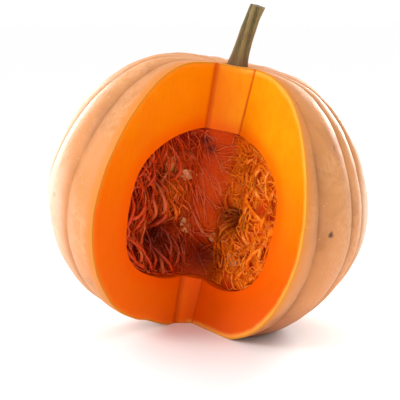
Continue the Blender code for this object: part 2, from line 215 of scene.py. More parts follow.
def newMaterial(name, finish):
    surface = bpy.data.materials.new(name)
    surface.use_nodes = True
    shader = surface.node_tree.nodes["Principled BSDF"]
    for socket, value in finish.items():
        shader.inputs[socket].default_value = value
    return surface, surface.node_tree, shader


def addNode(tree, kind, inputs=None, **settings):
    node = tree.nodes.new(kind)
    for key, value in settings.items():
        setattr(node, key, value)
    for key, value in (inputs or {}).items():
        if isinstance(value, bpy.types.NodeSocket):
            tree.links.new(value, node.inputs[key])
        else:
            node.inputs[key].default_value = value
    return node


def mathNode(tree, operation, first, second=0.5, clamp=False):
    node = addNode(tree, "ShaderNodeMath", {0: first, 1: second}, operation=operation, use_clamp=clamp)
    return node.outputs[0]


def times(tree, first, second):
    return mathNode(tree, "MULTIPLY", first, second)


def plus(tree, first, second):
    return mathNode(tree, "ADD", first, second)


def vectorMath(tree, operation, first, second):
    node = addNode(tree, "ShaderNodeVectorMath", {0: first, 1: second}, operation=operation)
    return node.outputs["Value"]


def rangeNode(tree, value, low, high, toLow=0.0, toHigh=1.0):
    node = addNode(tree, "ShaderNodeMapRange", {"Value": value, "From Min": low, "From Max": high,
                                                "To Min": toLow, "To Max": toHigh})
    node.interpolation_type = "SMOOTHSTEP"
    return node.outputs[0]


def mixColour(tree, factor, first, second):
    inputs = {0: factor, 6: first, 7: second}
    return addNode(tree, "ShaderNodeMix", inputs, data_type="RGBA").outputs[2]


def layer(tree, colour, tint, first, *factors):
    for factor in factors:
        first = times(tree, first, factor)
    return mixColour(tree, first, colour, tint)


def noiseNode(tree, place, scale, detail=4.0, roughness=0.55, distortion=0.0):
    node = addNode(tree, "ShaderNodeTexNoise", {"Vector": place, "Scale": scale, "Detail": detail,
                                                "Roughness": roughness, "Distortion": distortion})
    return node.outputs["Fac"]


def spotNode(tree, place, scale, size):
    node = addNode(tree, "ShaderNodeTexVoronoi", {"Vector": place, "Scale": scale, "Randomness": 1.0})
    return rangeNode(tree, node.outputs["Distance"], *size)


def stretched(tree, place, scale):
    return addNode(tree, "ShaderNodeMapping", {"Vector": place, "Scale": scale}).outputs[0]


def objectPlace(tree):
    return addNode(tree, "ShaderNodeTexCoord").outputs["Object"]


def axesOf(tree, place):
    return addNode(tree, "ShaderNodeSeparateXYZ", {"Vector": place}).outputs


def attribute(tree, name):
    return addNode(tree, "ShaderNodeAttribute", attribute_name=name).outputs["Fac"]


def connect(tree, shader, colour, roughness, relief, bump):
    tree.links.new(colour, shader.inputs["Base Color"])
    if roughness:
        tree.links.new(roughness, shader.inputs["Roughness"])
    inputs = {"Height": relief, "Distance": bump[0], "Strength": bump[1]}
    tree.links.new(addNode(tree, "ShaderNodeBump", inputs).outputs["Normal"], shader.inputs["Normal"])


def makeMottleGroup():
    group = bpy.data.node_groups.new("mottle", "ShaderNodeTree")
    for name, kind in (("Place", "NodeSocketVector"), ("Scale", "NodeSocketFloat"),
                       ("Low", "NodeSocketFloat"), ("High", "NodeSocketFloat")):
        group.interface.new_socket(name, in_out="INPUT", socket_type=kind)
    group.interface.new_socket("Mask", in_out="OUTPUT", socket_type="NodeSocketFloat")
    start = group.nodes.new("NodeGroupInput").outputs
    end = group.nodes.new("NodeGroupOutput")
    broad = noiseNode(group, start["Place"], start["Scale"], 6.0, 0.62, 0.4)
    group.links.new(rangeNode(group, broad, start["Low"], start["High"]), end.inputs["Mask"])
    return group


mottleGroup = makeMottleGroup()


def mottle(tree, place, scale, low, high):
    inputs = {"Place": place, "Scale": scale, "Low": low, "High": high}
    return addNode(tree, "ShaderNodeGroup", inputs, node_tree=mottleGroup).outputs["Mask"]


rindLook = {
    "buff": srgb(204, 134, 68), "deep": srgb(172, 100, 42), "bloom": srgb(232, 182, 138),
    "peach": srgb(214, 138, 78), "groove": srgb(146, 88, 42), "scar": srgb(84, 46, 12),
    # The powder colour is also the painted sheen towards both sides
    "fleck": srgb(240, 208, 174), "gold": srgb(216, 126, 26), "powderAndEdgeSheen": srgb(240, 208, 184),
    # The colour of the painted shade near the ground
    "groundShade": srgb(140, 74, 48),
    # Each mask: scale, low edge, high edge
    "peachMask": (11.0, 0.36, 0.64), "deepMask": (26.0, 0.5, 0.72), "grooveMask": (18.0, 0.2, 0.7),
    "bloomMask": (17.0, 0.42, 0.7), "powderMask": (240.0, 0.3, 0.62), "edgeSheenMask": (34.0, 0.3, 0.7),
    "fleckMask": (31.0, 0.45, 0.6), "scuffMask": (300.0, 0.35, 0.5),
    "deepAmount": 0.6, "grooveAmount": 0.75, "bloomAmount": 0.45, "edgeSheenAmount": (0.5, 0.92),
    "groundShadeAmount": 0.75, "fleckAmount": 0.45, "scuffAmount": 0.32, "stainLeft": 0.9, "stainRight": 0.7,
    # Where the painted sheen lies, to the right and the left, and how much it thins in the grooves
    "edgeSheenRight": (0.099, 0.112), "edgeSheenLeft": (-0.125, -0.158), "edgeSheenInGroove": (0.2, 0.9, 1.0, 0.25),
    "groundShadeHeight": 0.045, "stainReach": (0.0105, 0.002), "stainFront": (0.0, -0.025),
    "fleckScale": 210.0, "fleckSize": (0.16, 0.05), "scuffScale": 24.0, "scuffSize": (0.085, 0.045),
    "scarAzimuth": 46.0, "scarPolar": 82.0, "scarSize": (0.0062, 0.0036), "scarEdge": (260.0, 0.005),
    # Each grain: scale, detail, roughness
    "coarseGrain": (120.0, 6.0, 0.6), "fineGrain": (900.0, 5.0), "fineRelief": 0.35, "scarRelief": 0.5,
    "roughness": (0.52, 0.74), "bump": (0.0011, 0.55),
    "finish": {"Specular IOR Level": 0.45, "Subsurface Weight": 0.06,
               "Subsurface Radius": (1.0, 0.45, 0.2), "Subsurface Scale": 0.004},
}
scarPlace = skinPoint(math.radians(rindLook["scarAzimuth"]), math.radians(rindLook["scarPolar"]))


def cutDistance(tree, place, side):
    edge = wedgeEdge(side, 0.0)
    normal = (wedgeEdge(side, 1.0) - edge).cross(wedgeHeading(side)).normalized() * side
    edge, normal = lean @ edge, leanTurn.to_3x3() @ normal
    across = vectorMath(tree, "DOT_PRODUCT", place, normal)
    return mathNode(tree, "ABSOLUTE", mathNode(tree, "SUBTRACT", across, edge.dot(normal)))


def makeRind():
    look = rindLook
    surface, tree, shader = newMaterial("rind", look["finish"])
    place = objectPlace(tree)
    axes = axesOf(tree, place)
    groove = attribute(tree, "groove")
    colour = mixColour(tree, mottle(tree, place, *look["peachMask"]), look["buff"], look["peach"])
    colour = layer(tree, colour, look["deep"], mottle(tree, place, *look["deepMask"]), look["deepAmount"])
    shade = mottle(tree, place, *look["grooveMask"])
    colour = layer(tree, colour, look["groove"], groove, shade, look["grooveAmount"])
    # A pale bloom lies on the crests and wears off in patches
    crest = mathNode(tree, "SUBTRACT", 1.0, groove, clamp=True)
    bloom = times(tree, mottle(tree, place, *look["bloomMask"]), crest)
    powderAndEdgeSheen = mottle(tree, place, *look["powderMask"])
    colour = layer(tree, colour, look["bloom"], bloom, powderAndEdgeSheen, look["bloomAmount"])
    # A painted sheen in a pale bloom colour lies over the skin towards both sides, in patches and less in the
    # grooves
    edgeSheen = mathNode(tree, "MAXIMUM", rangeNode(tree, axes["X"], *look["edgeSheenRight"]),
                     rangeNode(tree, axes["X"], *look["edgeSheenLeft"]))
    patches = rangeNode(tree, mottle(tree, place, *look["edgeSheenMask"]), 0.0, 1.0, *look["edgeSheenAmount"])
    inGroove = rangeNode(tree, groove, *look["edgeSheenInGroove"])
    colour = layer(tree, colour, look["powderAndEdgeSheen"], edgeSheen, patches, inGroove)
    # Painted shade: the skin is darker where it nears the ground
    groundShade = rangeNode(tree, axes["Z"], look["groundShadeHeight"], 0.0, 0.0, look["groundShadeAmount"])
    colour = mixColour(tree, groundShade, colour, look["groundShade"])
    # The skin beside each cut is stained a golden colour
    for side, amount in ((-1.0, look["stainLeft"]), (1.0, look["stainRight"])):
        stain = rangeNode(tree, cutDistance(tree, place, side), *look["stainReach"], 0.0, amount)
        colour = layer(tree, colour, look["gold"], stain, rangeNode(tree, axes["Y"], *look["stainFront"]))
    fleck = spotNode(tree, place, look["fleckScale"], look["fleckSize"])
    patches = mottle(tree, place, *look["fleckMask"])
    colour = layer(tree, colour, look["fleck"], fleck, patches, look["fleckAmount"])
    # Dry brown scuffs, and one scar on the right
    scuff = spotNode(tree, place, look["scuffScale"], look["scuffSize"])
    scuff = times(tree, scuff, mottle(tree, place, *look["scuffMask"]))
    spot = vectorMath(tree, "DISTANCE", place, lean @ scarPlace)
    edgeScale, edgeDepth = look["scarEdge"]
    spot = plus(tree, spot, times(tree, noiseNode(tree, place, edgeScale), edgeDepth))
    scar = mathNode(tree, "MAXIMUM", times(tree, scuff, look["scuffAmount"]),
                    rangeNode(tree, spot, *look["scarSize"]))
    colour = mixColour(tree, scar, colour, look["scar"])
    roughness = rangeNode(tree, bloom, 0.0, 1.0, *look["roughness"])
    fine = times(tree, noiseNode(tree, place, *look["fineGrain"]), look["fineRelief"])
    relief = plus(tree, noiseNode(tree, place, *look["coarseGrain"]), fine)
    relief = mathNode(tree, "SUBTRACT", relief, times(tree, scar, look["scarRelief"]))
    connect(tree, shader, colour, roughness, relief, look["bump"])
    return surface


fleshLook = {
    # The right face is lighter and yellower than the left partly as painted light, and darker low down as
    # painted shade
    "left": srgb(236, 102, 0), "leftHigh": srgb(240, 132, 0), "leftRise": (0.10, 0.22),
    "right": srgb(220, 82, 0), "rightHigh": srgb(252, 160, 9), "rightRise": (0.02, 0.22),
    "inner": srgb(238, 86, 0), "rim": srgb(255, 190, 84), "skinLine": srgb(206, 136, 34),
    "creaseShade": srgb(200, 74, 0), "low": srgb(224, 92, 0),
    "lowMask": (22.0, 0.35, 0.7), "wetMask": (45.0, 0.4, 0.62),
    "lowAmount": 0.28, "innerAmount": 0.62, "creaseShadeAmount": 0.8,
    "rimAmount": (0.3, 1.0, 0.08, 0.68), "streakAmount": (0.45, 0.8, 0.0, 0.22),
    # Widths in metres, from the far edge of each to the near one
    "innerReach": (0.016, 0.0), "rimReach": (0.0062, 0.0014), "skinLineReach": (0.0024, 0.0006),
    "creaseShadeReach": (0.0026, 0.0002), "wobble": 0.004, "wobbleScale": 60.0,
    "streaks": (260.0, 260.0, 30.0), "streakGrain": (1.0, 5.0, 0.6), "streakRelief": 0.5,
    "sawMarks": (40.0, 40.0, 420.0), "sawGrain": (1.0, 3.0), "sawRelief": 0.35,
    "grain": (700.0, 5.0, 0.6), "grainRelief": 0.4, "roughness": (0.34, 0.52), "bump": (0.0007, 0.5),
    "finish": {"Specular IOR Level": 0.08, "Subsurface Weight": 0.22,
               "Subsurface Radius": (1.0, 0.4, 0.1), "Subsurface Scale": 0.006},
}


def makeFlesh():
    look = fleshLook
    surface, tree, shader = newMaterial("flesh", look["finish"])
    place = objectPlace(tree)
    skinDepth = attribute(tree, "skinDepth")
    side = attribute(tree, "side")
    level = axesOf(tree, place)["Z"]
    wobble = mathNode(tree, "SUBTRACT", noiseNode(tree, place, look["wobbleScale"]), 0.5)
    wobble = times(tree, wobble, look["wobble"])
    # Each face shifts in colour with height; the right face's lighter, yellower colour is partly painted
    # light, and its darker lower part is painted shade
    left = mixColour(tree, rangeNode(tree, level, *look["leftRise"]), look["left"], look["leftHigh"])
    right = mixColour(tree, rangeNode(tree, level, *look["rightRise"]), look["right"], look["rightHigh"])
    colour = mixColour(tree, side, left, right)
    colour = layer(tree, colour, look["low"], mottle(tree, place, *look["lowMask"]), look["lowAmount"])
    inner = rangeNode(tree, plus(tree, attribute(tree, "cavityDepth"), wobble), *look["innerReach"])
    colour = layer(tree, colour, look["inner"], inner, look["innerAmount"])
    streak = noiseNode(tree, stretched(tree, place, look["streaks"]), *look["streakGrain"])
    colour = mixColour(tree, rangeNode(tree, streak, *look["streakAmount"]), colour, look["low"])
    rim = rangeNode(tree, plus(tree, skinDepth, wobble), *look["rimReach"])
    colour = layer(tree, colour, look["rim"], rim, rangeNode(tree, side, *look["rimAmount"]))
    colour = mixColour(tree, rangeNode(tree, skinDepth, *look["skinLineReach"]), colour, look["skinLine"])
    # Painted shade along the two inner edges where the cut faces meet
    creaseShade = rangeNode(tree, attribute(tree, "creaseShade"), *look["creaseShadeReach"])
    colour = layer(tree, colour, look["creaseShade"], creaseShade, look["creaseShadeAmount"])
    roughness = rangeNode(tree, mottle(tree, place, *look["wetMask"]), 0.0, 1.0, *look["roughness"])
    grain = noiseNode(tree, place, *look["grain"])
    saw = noiseNode(tree, stretched(tree, place, look["sawMarks"]), *look["sawGrain"])
    relief = plus(tree, times(tree, grain, look["grainRelief"]), times(tree, saw, look["sawRelief"]))
    relief = plus(tree, relief, times(tree, streak, look["streakRelief"]))
    connect(tree, shader, colour, roughness, relief, look["bump"])
    return surface


pulpLook = {
    "deep": srgb(132, 20, 0), "red": srgb(200, 58, 8), "orange": srgb(246, 126, 14),
    # The hollow colour is painted shade
    "core": srgb(204, 66, 0), "pale": srgb(250, 170, 70), "hollow": srgb(98, 12, 0),
    "strand": srgb(208, 80, 24), "sheen": srgb(230, 136, 84), "rightStrand": srgb(248, 132, 16),
    "tan": srgb(206, 112, 44), "clump": srgb(250, 122, 14),
    "leftMask": (70.0, 0.4, 0.62), "rightMask": (60.0, 0.38, 0.6), "lumpMask": (120.0, 0.56, 0.7),
    "coreMask": (48.0, 0.4, 0.66), "clumpMask": (80.0, 0.25, 0.6), "tanMask": (90.0, 0.3, 0.55),
    "lumpAmount": (0.2, 1.0, 0.25, 0.8), "coreAmount": 0.9, "hollowShadeAmount": 0.92,
    "threads": (420.0, 420.0, 70.0), "threadGrain": (1.0, 5.0, 0.6, 0.8),
    "grain": (620.0, 4.0, 0.6), "grainRelief": 0.4,
    "roughness": (0.3, 0.7, 0.22, 0.46), "bump": (0.0016, 0.7),
    "finish": {"Specular IOR Level": 0.07, "Subsurface Weight": 0.15,
               "Subsurface Radius": (1.0, 0.3, 0.08), "Subsurface Scale": 0.004},
}


def makePulp():
    look = pulpLook
    surface, tree, shader = newMaterial("pulpFlesh", look["finish"])
    place = objectPlace(tree)
    side = attribute(tree, "side")
    # The left side is painted darker and the right side lighter with pale lumps, partly as painted shade and
    # light
    left = mixColour(tree, mottle(tree, place, *look["leftMask"]), look["deep"], look["red"])
    right = mixColour(tree, mottle(tree, place, *look["rightMask"]), look["red"], look["orange"])
    colour = mixColour(tree, side, left, right)
    lumps = mottle(tree, place, *look["lumpMask"])
    colour = layer(tree, colour, look["pale"], lumps, rangeNode(tree, side, *look["lumpAmount"]))
    coreColour = mixColour(tree, mottle(tree, place, *look["coreMask"]), look["core"], look["red"])
    colour = layer(tree, colour, coreColour, attribute(tree, "core"), look["coreAmount"])
    for name in ("clump", "tan"):
        mask = mottle(tree, place, *look[name + "Mask"])
        colour = layer(tree, colour, look[name], attribute(tree, name), mask)
    # Painted shade in the hollows and the shaded patches
    colour = layer(tree, colour, look["hollow"], attribute(tree, "deep"), look["hollowShadeAmount"])
    thread = noiseNode(tree, stretched(tree, place, look["threads"]), *look["threadGrain"])
    fine = times(tree, noiseNode(tree, place, *look["grain"]), look["grainRelief"])
    roughness = rangeNode(tree, thread, *look["roughness"])
    connect(tree, shader, colour, roughness, plus(tree, thread, fine), look["bump"])
    return surface


strandLook = {
    "stainMask": (160.0, 0.45, 0.65), "stainAmount": 0.55,
    "leftSheen": (0.72, 1.0, 0.0, 0.6), "rightSheen": (0.7, 1.0, 0.0, 0.4),
    "coreAmount": 0.7, "clumpAmount": 0.8, "hollowShadeAmount": 0.85,
    "coarseGrain": (260.0, 3.0, 0.5), "coarseRelief": 0.8, "fineGrain": (900.0, 4.0, 0.6), "fineRelief": 0.3,
    "roughness": (0.3, 0.7, 0.2, 0.42), "bump": (0.0007, 0.6),
    "finish": {"Specular IOR Level": 0.28, "Subsurface Weight": 0.25,
               "Subsurface Radius": (1.0, 0.35, 0.1), "Subsurface Scale": 0.003},
}


def makeStrandSurface():
    look = strandLook
    surface, tree, shader = newMaterial("pulpStrand", look["finish"])
    place = objectPlace(tree)
    tone = attribute(tree, "tone")
    # Left strands are darker and right strands lighter, partly as painted shade and light; strands of the
    # highest tone get a painted sheen
    left = mixColour(tree, tone, pulpLook["red"], pulpLook["strand"])
    left = mixColour(tree, rangeNode(tree, tone, *look["leftSheen"]), left, pulpLook["sheen"])
    right = mixColour(tree, tone, pulpLook["orange"], pulpLook["rightStrand"])
    right = mixColour(tree, rangeNode(tree, tone, *look["rightSheen"]), right, pulpLook["pale"])
    colour = mixColour(tree, attribute(tree, "side"), left, right)
    for name in ("core", "clump"):
        colour = layer(tree, colour, pulpLook[name], attribute(tree, name), look[name + "Amount"])
    stain = mottle(tree, place, *look["stainMask"])
    colour = layer(tree, colour, pulpLook["red"], stain, look["stainAmount"])
    # Painted shade in the hollows and the shaded patches
    colour = layer(tree, colour, pulpLook["hollow"], attribute(tree, "deep"), look["hollowShadeAmount"])
    coarse = noiseNode(tree, place, *look["coarseGrain"])
    fine = times(tree, noiseNode(tree, place, *look["fineGrain"]), look["fineRelief"])
    relief = plus(tree, times(tree, coarse, look["coarseRelief"]), fine)
    connect(tree, shader, colour, rangeNode(tree, coarse, *look["roughness"]), relief, look["bump"])
    return surface


seedLook = {
    "pale": srgb(222, 146, 78), "tan": srgb(198, 104, 44), "rim": srgb(236, 178, 110),
    "stain": srgb(172, 66, 16),
    "tanMask": (180.0, 0.4, 0.62), "stainMask": (110.0, 0.5, 0.7), "rimAmount": 0.7, "stainAmount": 0.7,
    "grainScale": 1400.0, "roughness": (0.0, 0.7, 0.42, 0.22), "bump": (0.0003, 0.4),
    "finish": {"Subsurface Weight": 0.12, "Subsurface Scale": 0.002,
               "Coat Weight": 0.25, "Coat Roughness": 0.2},
}


def makeSeedSurface():
    look = seedLook
    surface, tree, shader = newMaterial("seedCoat", look["finish"])
    place = objectPlace(tree)
    colour = mixColour(tree, mottle(tree, place, *look["tanMask"]), look["pale"], look["tan"])
    colour = layer(tree, colour, look["rim"], attribute(tree, "rim"), look["rimAmount"])
    stain = times(tree, mottle(tree, place, *look["stainMask"]), look["stainAmount"])
    colour = mixColour(tree, stain, colour, look["stain"])
    relief = noiseNode(tree, place, look["grainScale"])
    connect(tree, shader, colour, rangeNode(tree, stain, *look["roughness"]), relief, look["bump"])
    return surface


stemLook = {
    "khaki": srgb(130, 104, 54), "olive": srgb(82, 70, 28), "brown": srgb(104, 70, 28),
    "pale": srgb(152, 128, 78), "cut": srgb(182, 156, 108), "cutEdgeShadeColour": srgb(58, 46, 26),
    "brownMask": (60.0, 0.45, 0.65), "brownAmount": 0.5, "footAmount": 0.75,
    "ridgeRise": (0.2, 0.8), "paleAmount": (0.45, 0.75, 0.0, 0.55),
    "fibres": (900.0, 900.0, 60.0), "fibreGrain": (1.0, 6.0, 0.62),
    "grainScale": 700.0, "grainRelief": 0.4, "bump": (0.0008, 0.7), "finish": {"Roughness": 0.68},
}


def makeStemSurface():
    look = stemLook
    surface, tree, shader = newMaterial("stemBark", look["finish"])
    place = objectPlace(tree)
    fibre = noiseNode(tree, stretched(tree, place, look["fibres"]), *look["fibreGrain"])
    # Lighter on the ridges, with one side painted lighter as painted light
    ridgeAndLitSide = rangeNode(tree, attribute(tree, "ridgeAndLitSide"), *look["ridgeRise"])
    colour = mixColour(tree, ridgeAndLitSide, look["olive"], look["khaki"])
    colour = mixColour(tree, rangeNode(tree, fibre, *look["paleAmount"]), colour, look["pale"])
    colour = layer(tree, colour, look["brown"], mottle(tree, place, *look["brownMask"]), look["brownAmount"])
    # Painted shade at the foot of the stem
    colour = layer(tree, colour, look["brown"], attribute(tree, "foot"), look["footAmount"])
    colour = mixColour(tree, attribute(tree, "cutEnd"), colour, look["cut"])
    # Painted shade: a dark line round the edge of the cut end
    colour = mixColour(tree, attribute(tree, "cutEdgeShade"), colour, look["cutEdgeShadeColour"])
    fine = times(tree, noiseNode(tree, place, look["grainScale"]), look["grainRelief"])
    connect(tree, shader, colour, None, plus(tree, fibre, fine), look["bump"])
    return surface


rindSurface = makeRind()
fleshSurface = makeFlesh()
pulpSurface = makePulp()
strandSurface = makeStrandSurface()
seedSurface = makeSeedSurface()
stemSurface = makeStemSurface()
print("materials made")


# Attributes are stored for each vertex of a finished mesh
def store(piece, name, values):
    layer = piece.data.attributes.new(name, "FLOAT", "POINT")
    layer.data.foreach_set("value", values)


def skinBmesh():
    starts = sorted(fruit["grooves"])
    ends = starts[1:] + [starts[0] + 360]
    count = fruit["stepsPerRib"]
    steps = [0.5 - 0.5 * math.cos(math.pi * k / count) for k in range(count)]
    steps = [0.6 * step + 0.4 * k / count for k, step in enumerate(steps)]
    azimuths = [math.radians(a + (b - a) * step) for a, b in zip(starts, ends) for step in steps]
    bm = bmesh.new()
    bmesh.ops.create_uvsphere(bm, u_segments=len(azimuths), v_segments=fruit["rows"], radius=1.0)
    for vert in bm.verts:
        polar, turn = sphereAngles(vert)
        vert.co = skinPoint(azimuths[round(turn * len(azimuths)) % len(azimuths)], polar)
    return bm


def cavityBmesh(sides, rows, inset=0.0):
    bm = bmesh.new()
    bmesh.ops.create_uvsphere(bm, u_segments=sides, v_segments=rows, radius=1.0)
    for vert in bm.verts:
        polar, turn = sphereAngles(vert)
        vert.co = cavityPoint(turn * 2.0 * math.pi, polar, inset)
    return bm


def wedgeBmesh(cuts):
    bm = bmesh.new()
    bmesh.ops.create_cube(bm, size=2.0)
    for axis, count in zip((2, 1, 0), cuts):
        rails = [e for e in bm.edges if abs(e.verts[0].co[axis] - e.verts[1].co[axis]) > 1.9]
        bmesh.ops.subdivide_edges(bm, edges=rails, cuts=count, use_grid_fill=True)
    for vert in bm.verts:
        height = vert.co.z * wedge["halfHeight"]
        left, right = wedgeEdge(-1.0, height), wedgeEdge(1.0, height)
        run = wedge["reach"] * 0.5 * (1.0 - vert.co.y)
        left += wedgeHeading(-1.0) * run
        right += wedgeHeading(1.0) * run
        vert.co = left.lerp(right, 0.5 * (vert.co.x + 1.0))
    return bm


def buildFruit():
    skin = skinBmesh()
    skinTree = BVHTree.FromBMesh(skin)
    hollow = cavityBmesh(cavity["sides"], cavity["rows"])
    hollowTree = BVHTree.FromBMesh(hollow)
    piece = newPiece("fruitBody", skin, [rindSurface, fleshSurface])
    cutters = [newPiece("hollowCutter", hollow, [fleshSurface]),
               newPiece("wedgeCutter", wedgeBmesh(wedge["fineCuts"]), [fleshSurface]),
               newPiece("socketCutter", stemBmesh(*stem["socketSteps"], cavity["gap"]), [rindSurface])]
    for cutter in cutters:
        subtract(piece, cutter)
    bakeModifiers(piece, cutters)
    leftWidth, rightWidth = wedge["creaseShadeWidths"]
    grooveAt, skinDepth, cavityDepth, sideAt, creaseShadeAt = [], [], [], [], []
    for vert in piece.data.vertices:
        point = vert.co
        across = ribPlace(math.atan2(point.x, -point.y))[1]
        level = math.hypot(point.x, point.y) / fruit["radius"]
        grooveAt.append(grooveShare(across) * min(1.0, fruit["grooveGrowth"] * level))
        skinDepth.append(skinTree.find_nearest(point)[3])
        cavityDepth.append(hollowTree.find_nearest(point)[3])
        left, right = wedgeEdge(-1.0, point.z), wedgeEdge(1.0, point.z)
        width = right.x - left.x
        sideAt.append(smoothStep((point.x - left.x) / width, *wedge["sideBlend"]))
        # Distance to the inner edges of the cut, for the painted shade along them
        creaseShadeAt.append(min((point - left).length * leftWidth, (point - right).length * rightWidth))
    for name, values in (("groove", grooveAt), ("skinDepth", skinDepth), ("cavityDepth", cavityDepth),
                         ("side", sideAt), ("creaseShade", creaseShadeAt)):
        store(piece, name, values)
    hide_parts("fruit")
    finishPiece(piece, fruit["smoothAngle"])
    # Nothing reaches below the floor
    for vert in piece.data.vertices:
        vert.co.z = max(vert.co.z, 0.0)


stem = {
    "radius": 0.0060, "flare": 0.0030, "flareLength": 0.008, "ridges": 5, "ridgeDepth": 0.0009,
    "length": 0.051, "sunk": 0.005, "lean": math.radians(5.0), "bend": 0.0035, "foot": (0.003, 0.0005),
    "sides": 60, "rows": 40, "fibre": 0.00022, "fibreAround": 9.0, "fibreAlong": 4.0,
    "twist": 0.9, "footPolar": 0.02, "socketSteps": (24, 10), "socketFoot": 2.5,
    "rimWidths": (0.0006, 0.0014), "footShade": (0.002, 0.016), "sunnySide": 0.25, "smoothAngle": 40.0,
}


def tubeBmesh(sides, steps, place):
    bm = bmesh.new()
    bmesh.ops.create_cone(bm, cap_ends=True, segments=sides, radius1=1.0, radius2=1.0, depth=1.0)
    rails = [e for e in bm.edges if abs(e.verts[0].co.z - e.verts[1].co.z) > 0.5]
    bmesh.ops.subdivide_edges(bm, edges=rails, cuts=steps - 1)
    for vert in bm.verts:
        vert.co = place(vert.co.z + 0.5, math.atan2(vert.co.y, vert.co.x))
    return bm


def stemFoot():
    return fruitProfile(stem["footPolar"])[1] - stem["sunk"]


def stemRidge(station, angle):
    return math.cos(stem["ridges"] * (angle + stem["twist"] * station))


def stemPlace(station, angle, extra=0.0):
    height = station * (stem["length"] + stem["sunk"])
    flare = stem["flare"] * math.exp(-max(height - stem["sunk"], 0.0) / stem["flareLength"])
    radius = stem["radius"] + flare + stem["ridgeDepth"] * stemRidge(station, angle) + extra
    x, y = stem["foot"]
    x += math.sin(stem["lean"]) * height + stem["bend"] * station ** 2
    centre = Vector((x, y, stemFoot() + height))
    across = Vector((math.cos(angle) * math.cos(stem["lean"]), math.sin(angle),
                     -math.cos(angle) * math.sin(stem["lean"])))
    if not extra:
        around = stem["fibreAround"]
        place = Vector((around * math.cos(angle), around * math.sin(angle), stem["fibreAlong"] * station))
        radius += stem["fibre"] * (noise.noise(place) - 1.0)
    return centre + across * radius


def stemBmesh(sides, rows, extra=0.0):
    bm = tubeBmesh(sides, rows, lambda s, a: stemPlace(s, a, extra))
    if extra:
        lowest = min(v.co.z for v in bm.verts)
        highest = lowest + stem["socketFoot"] * stem["radius"] * math.sin(stem["lean"])
        foot = [v for v in bm.verts if v.co.z < highest]
        bmesh.ops.translate(bm, verts=foot, vec=(0.0, 0.0, -extra))
    return bm


def buildStem():
    bm = stemBmesh(stem["sides"], stem["rows"])
    bm.faces.ensure_lookup_table()
    caps = sorted(bm.faces, key=lambda f: f.calc_area())[-2:]
    top = max(caps, key=lambda f: f.calc_center_median().z)
    rim = {vert.index for vert in top.verts}
    for width in stem["rimWidths"]:
        bmesh.ops.inset_region(bm, faces=[top], thickness=width, depth=0.0)
    bm.verts.index_update()
    inner = {vert.index for vert in top.verts}
    bm.verts.ensure_lookup_table()
    points = [vert.co.copy() for vert in bm.verts]
    piece = newPiece("stemStalk", bm, [stemSurface])
    footHeight = stemFoot()
    ridgeAndLitSideAt, footShadeAt, endAt, cutEdgeShadeAt = [], [], [], []
    for index, point in enumerate(points):
        station = (point.z - footHeight) / (stem["length"] + stem["sunk"])
        x = point.x - stem["foot"][0] - math.sin(stem["lean"]) * (point.z - footHeight)
        angle = math.atan2(point.y - stem["foot"][1], x - stem["bend"] * station ** 2)
        # The ridge tone, plus painted light on one side of the stem
        ridgeAndLitSideAt.append(0.5 + 0.5 * stemRidge(station, angle) + stem["sunnySide"] * math.cos(angle))
        # Painted shade, strongest at the foot
        footShadeAt.append(1.0 - smoothStep(point.z - footHeight - stem["sunk"], *stem["footShade"]))
        endAt.append(1.0 if index in inner else 0.0)
        cutEdgeShadeAt.append(1.0 if index in rim else 0.0)
    for name, values in (("ridgeAndLitSide", ridgeAndLitSideAt), ("foot", footShadeAt), ("cutEnd", endAt), ("cutEdgeShade", cutEdgeShadeAt)):
        store(piece, name, values)
    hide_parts("stem")
    finishPiece(piece, stem["smoothAngle"])


torn = {
    "reach": 0.125, "top": 0.075, "bottom": -0.085, "columns": 190, "rows": 120, "sweep": 0.25,
    "left": 0.0135, "right": 0.0065, "middle": 0.0015, "lumps": 42.0, "uneven": 0.0040,
    # Each hollow: along the cut, height, width, depth
    "hollows": ((-0.034, -0.040, 0.017, 0.016), (0.024, -0.012, 0.010, 0.018),
                (-0.052, 0.010, 0.016, 0.006), (0.004, -0.055, 0.018, 0.012)),
    "core": 0.014, "fibres": 0.0016, "shallowest": 0.0008, "shallowestRaised": 0.0007,
    "sideBlend": (-0.012, 0.018), "coreBlend": (0.7, 1.5), "fullShadeDepth": 0.013, "smoothAngle": 60.0,
    "sides": 72, "cavityRows": 40,
}


def hollowAt(along, height):
    total = 0.0
    for hollowAlong, hollowHeight, width, deep in torn["hollows"]:
        off = math.hypot(along - hollowAlong, height - hollowHeight) / width
        total += deep * math.exp(-off * off)
    return total


def recess(along, height):
    side = torn["left"] if along < 0 else torn["right"]
    away = smoothStep(abs(along), 0.5 * torn["core"], 2.2 * torn["core"])
    depth = torn["middle"] + (side - torn["middle"]) * away
    place = Vector((along * torn["lumps"], height * torn["lumps"], 1.7))
    depth += torn["uneven"] * noise.noise(place) * (0.35 + 0.65 * away)
    return max(depth + hollowAt(along, height), torn["shallowest"])


def inwardAt(along):
    opening = math.radians(wedge["leftOpening"] if along < 0 else wedge["rightOpening"])
    turned = (0.5 * math.pi - opening) * smoothStep(abs(along), 0.0, 2.0 * torn["core"])
    return Vector((math.copysign(math.sin(turned), along), math.cos(turned), 0.0))


def cutPoint(along, height):
    side = math.copysign(1.0, along)
    left, right = wedgeEdge(-1.0, height), wedgeEdge(1.0, height)
    middle = 0.5 * (left + right)
    edge = right if side > 0 else left
    half = (right - left).length * 0.5
    if abs(along) < half:
        return middle.lerp(edge, abs(along) / half)
    return edge + wedgeHeading(side) * (abs(along) - half)


def tornPoint(along, height, rise=0.0):
    return cutPoint(along, height) + inwardAt(along) * (recess(along, height) - rise)


